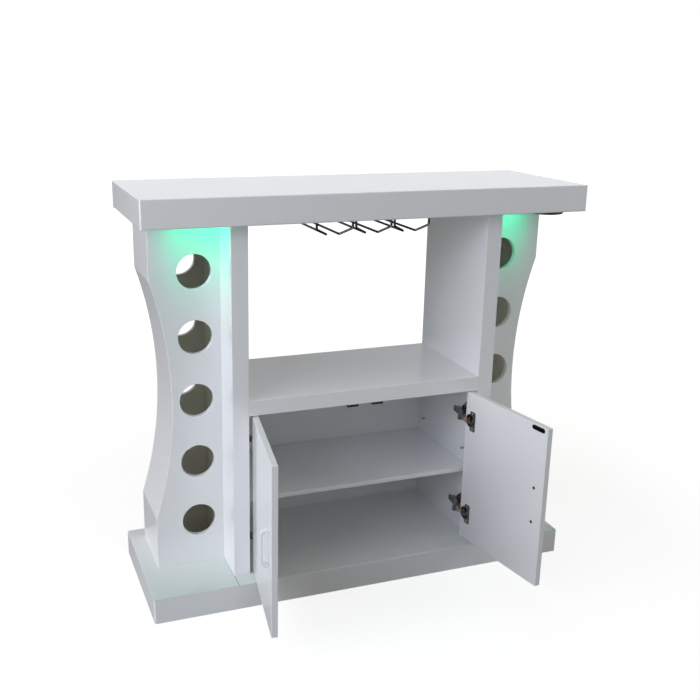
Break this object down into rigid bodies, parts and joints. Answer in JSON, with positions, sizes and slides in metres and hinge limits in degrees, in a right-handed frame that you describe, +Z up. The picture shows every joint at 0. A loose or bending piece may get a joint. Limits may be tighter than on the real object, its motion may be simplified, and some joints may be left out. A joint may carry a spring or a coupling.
{
  "type": "bar counter with shelves",
  "caption": "White lacquered bar counter with two waisted bottle towers, an open serving niche with a stemware rack, and a two-door cabinet with an interior shelf.",
  "frame": {"origin": "on the floor under the centre of the plinth", "axes": "+X to the right along the counter, seen from the door side; +Y towards the back; +Z up"},
  "size_m": [1.2, 0.6632, 1.085],
  "materials": {
    "lacquer": "high-gloss white lacquer on MDF boards",
    "dowel_wood": "plain beech",
    "white_handle": "glossy white",
    "chrome_wire": "bright chrome plating",
    "hinge_steel": "dark nickel plating on pressed steel",
    "hinge_link_steel": "copper-toned plating on pressed steel",
    "screw_steel": "zinc plating",
    "strike_steel": "black plating",
    "black_plastic": "moulded black plastic",
    "magnet": "dull ferrite between steel poles",
    "led_diffuser": "milky diffuser, lit mint green"
  },
  "bodies": {
    "counter": {"cabinet_back_panel": "lacquer", "cabinet_floor": "lacquer", "catch_housings": "black_plastic", "catch_magnets": "magnet", "frame_dowels": "dowel_wood", "hinge_arms": "hinge_steel", "hinge_plate_screws": "screw_steel", "hinge_wall_plates": "hinge_steel", "interior_shelf": "lacquer", "led_control_box": "black_plastic", "led_light_bars": "led_diffuser", "left_plinth_cover": "lacquer", "left_plinth_fascia": "lacquer", "left_top_fascia": "lacquer", "left_tower_front_panel": "lacquer", "left_tower_rear_panel": "lacquer", "left_tower_side_panel": "lacquer", "left_upright_inner_board": "lacquer", "left_upright_lipping": "lacquer", "left_upright_outer_board": "lacquer", "mid_shelf_board": "lacquer", "mid_shelf_lipping": "lacquer", "plinth_front_fascia": "lacquer", "plinth_front_strip": "lacquer", "plinth_rear_fascia": "lacquer", "plinth_ribs": "lacquer", "rack_mounting_bars": "chrome_wire", "rack_screws": "screw_steel", "rack_wires": "chrome_wire", "right_plinth_cover": "lacquer", "right_plinth_fascia": "lacquer", "right_top_fascia": "lacquer", "right_tower_front_panel": "lacquer", "right_tower_rear_panel": "lacquer", "right_tower_side_panel": "lacquer", "right_upright_inner_board": "lacquer", "right_upright_lipping": "lacquer", "right_upright_outer_board": "lacquer", "shelf_pins": "screw_steel", "top_board": "lacquer", "top_core_ribs": "lacquer", "top_front_fascia": "lacquer", "top_rear_fascia": "lacquer", "top_underside_board": "lacquer"},
    "left_upper_link": {"left_upper_hinge_link": "hinge_link_steel"},
    "left_lower_link": {"left_lower_hinge_link": "hinge_link_steel"},
    "left_door": {"left_door": "lacquer", "left_door_handle": "white_handle", "left_handle_screws": "screw_steel", "left_strike_plate": "strike_steel", "left_hinge_cups": "hinge_steel", "left_cup_screws": "screw_steel"},
    "right_upper_link": {"right_upper_hinge_link": "hinge_link_steel"},
    "right_lower_link": {"right_lower_hinge_link": "hinge_link_steel"},
    "right_door": {"right_door": "lacquer", "right_door_handle": "white_handle", "right_handle_screws": "screw_steel", "right_strike_plate": "strike_steel", "right_hinge_cups": "hinge_steel", "right_cup_screws": "screw_steel"}
  },
  "joints": [
    {"name": "left_upper_link_turn", "type": "hinge", "parent": "counter", "child": "left_upper_link", "pos_m": [-0.29469, -0.12359, 0.435], "axis": [0, 0, 1], "range_deg": [-20.6, 1.3]},
    {"name": "left_lower_link_turn", "type": "hinge", "parent": "counter", "child": "left_lower_link", "pos_m": [-0.29469, -0.12359, 0.153], "axis": [0, 0, 1], "range_deg": [-20.6, 1.3]},
    {"name": "left_door_swing", "type": "hinge", "parent": "left_upper_link", "child": "left_door", "pos_m": [-0.31186, -0.1484, 0.435], "axis": [0, 0, 1], "range_deg": [-6, 119.29]},
    {"name": "right_upper_link_turn", "type": "hinge", "parent": "counter", "child": "right_upper_link", "pos_m": [0.29469, -0.12359, 0.435], "axis": [0, 0, -1], "range_deg": [-20.6, 1.3]},
    {"name": "right_lower_link_turn", "type": "hinge", "parent": "counter", "child": "right_lower_link", "pos_m": [0.29469, -0.12359, 0.153], "axis": [0, 0, -1], "range_deg": [-20.6, 1.3]},
    {"name": "right_door_swing", "type": "hinge", "parent": "right_upper_link", "child": "right_door", "pos_m": [0.31186, -0.1484, 0.435], "axis": [0, 0, -1], "range_deg": [-6, 119.29]}
  ],
  "couplings": [
    {"joint": "left_upper_link_turn", "follows": "left_door_swing", "ratio": -0.1701},
    {"joint": "left_lower_link_turn", "follows": "left_door_swing", "ratio": -0.1701},
    {"joint": "right_upper_link_turn", "follows": "right_door_swing", "ratio": -0.1701},
    {"joint": "right_lower_link_turn", "follows": "right_door_swing", "ratio": -0.1701}
  ]
}
